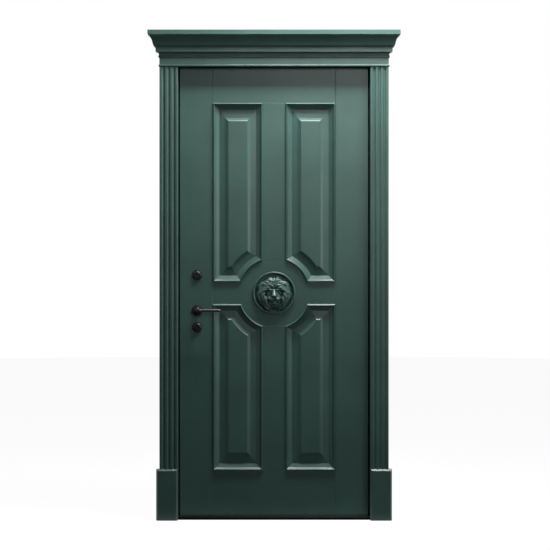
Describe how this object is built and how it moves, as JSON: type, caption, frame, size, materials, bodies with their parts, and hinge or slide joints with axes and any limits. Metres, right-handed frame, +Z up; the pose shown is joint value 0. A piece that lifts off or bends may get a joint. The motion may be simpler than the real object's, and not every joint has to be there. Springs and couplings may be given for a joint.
{
  "type": "interior door with frame",
  "caption": "Panelled interior door with a lion-head medallion, lever handle and cylinder locks, hung in a frame with fluted pilasters and a moulded cornice.",
  "frame": {"origin": "on the floor midway between the jambs, in the plane of the leaf's front face", "axes": "+X to the right seen from the front, +Y away from the viewer through the doorway, +Z up"},
  "size_m": [1.184, 0.2025, 2.303],
  "materials": {
    "painted_wood": "satin dark green paint",
    "black_hardware": "satin black",
    "steel": "brushed",
    "rubber_seal": "matt black",
    "dark_threshold": "matt black"
  },
  "bodies": {
    "frame": {"hinge_jamb": "painted_wood", "strike_jamb": "painted_wood", "head_jamb": "painted_wood", "threshold": "dark_threshold", "perimeter_seal": "rubber_seal", "left_pilaster": "painted_wood", "right_pilaster": "painted_wood", "left_plinth_block": "painted_wood", "right_plinth_block": "painted_wood", "back_left_architrave": "painted_wood", "back_right_architrave": "painted_wood", "back_head_architrave": "painted_wood", "cornice_frieze": "painted_wood", "cornice_crown": "painted_wood", "main_strike_plate": "steel", "upper_strike_plate": "steel", "lower_hinge_frame_leaf": "black_hardware", "middle_hinge_frame_leaf": "black_hardware", "upper_hinge_frame_leaf": "black_hardware", "hinge_pins": "black_hardware", "frame_screws": "steel"},
    "leaf": {"lock_stile": "painted_wood", "hinge_stile": "painted_wood", "top_rail": "painted_wood", "lock_rail": "painted_wood", "bottom_rail": "painted_wood", "upper_mullion": "painted_wood", "lower_mullion": "painted_wood", "upper_left_panel": "painted_wood", "upper_right_panel": "painted_wood", "lower_left_panel": "painted_wood", "lower_right_panel": "painted_wood", "upper_left_moulding": "painted_wood", "upper_right_moulding": "painted_wood", "lower_left_moulding": "painted_wood", "lower_right_moulding": "painted_wood", "medallion_ring": "painted_wood", "lion_head": "painted_wood", "lower_hinge_door_leaf": "black_hardware", "middle_hinge_door_leaf": "black_hardware", "upper_hinge_door_leaf": "black_hardware", "leaf_screws": "steel", "main_lock_case": "steel", "upper_lock_case": "steel", "outer_lever_rose": "black_hardware", "inner_lever_rose": "black_hardware", "main_outer_rose": "black_hardware", "main_inner_rose": "black_hardware", "upper_outer_rose": "black_hardware", "upper_inner_rose": "black_hardware", "main_cylinder": "black_hardware", "upper_cylinder": "black_hardware"},
    "lever_set": {"outer_lever": "black_hardware", "inner_lever": "black_hardware", "lever_spindle": "steel"},
    "latch": {"latch_bolt": "steel"},
    "main_bolt": {"main_deadbolt": "steel"},
    "main_turn": {"main_thumb_turn": "black_hardware"},
    "upper_bolt": {"upper_deadbolt": "steel"},
    "upper_turn": {"upper_thumb_turn": "black_hardware"}
  },
  "joints": [
    {"name": "leaf_swing", "type": "hinge", "parent": "frame", "child": "leaf", "pos_m": [0.4585, 0.0575, 1.081], "axis": [0, 0, -1], "range_deg": [0, 110]},
    {"name": "lever_turn", "type": "hinge", "parent": "leaf", "child": "lever_set", "pos_m": [-0.365, 0.024, 0.988], "axis": [0, 1, 0], "range_deg": [0, 45], "stiffness_Nm_per_rad": 1, "springref_deg": -45.84},
    {"name": "latch_slide", "type": "slide", "parent": "leaf", "child": "latch", "axis": [1, 0, 0], "range_m": [0, 0.0115]},
    {"name": "main_turn", "type": "hinge", "parent": "leaf", "child": "main_turn", "pos_m": [-0.365, 0.024, 0.908], "axis": [0, 1, 0], "range_deg": [0, 360]},
    {"name": "main_bolt_slide", "type": "slide", "parent": "leaf", "child": "main_bolt", "axis": [-1, 0, 0], "range_m": [0, 0.02]},
    {"name": "upper_turn", "type": "hinge", "parent": "leaf", "child": "upper_turn", "pos_m": [-0.365, 0.024, 1.155], "axis": [0, 1, 0], "range_deg": [0, 360]},
    {"name": "upper_bolt_slide", "type": "slide", "parent": "leaf", "child": "upper_bolt", "axis": [-1, 0, 0], "range_m": [0, 0.02]}
  ],
  "couplings": [
    {"joint": "latch_slide", "follows": "lever_turn", "m_per_rad": 0.01464},
    {"joint": "main_bolt_slide", "follows": "main_turn", "m_per_rad": 0.003183},
    {"joint": "upper_bolt_slide", "follows": "upper_turn", "m_per_rad": 0.003183}
  ]
}
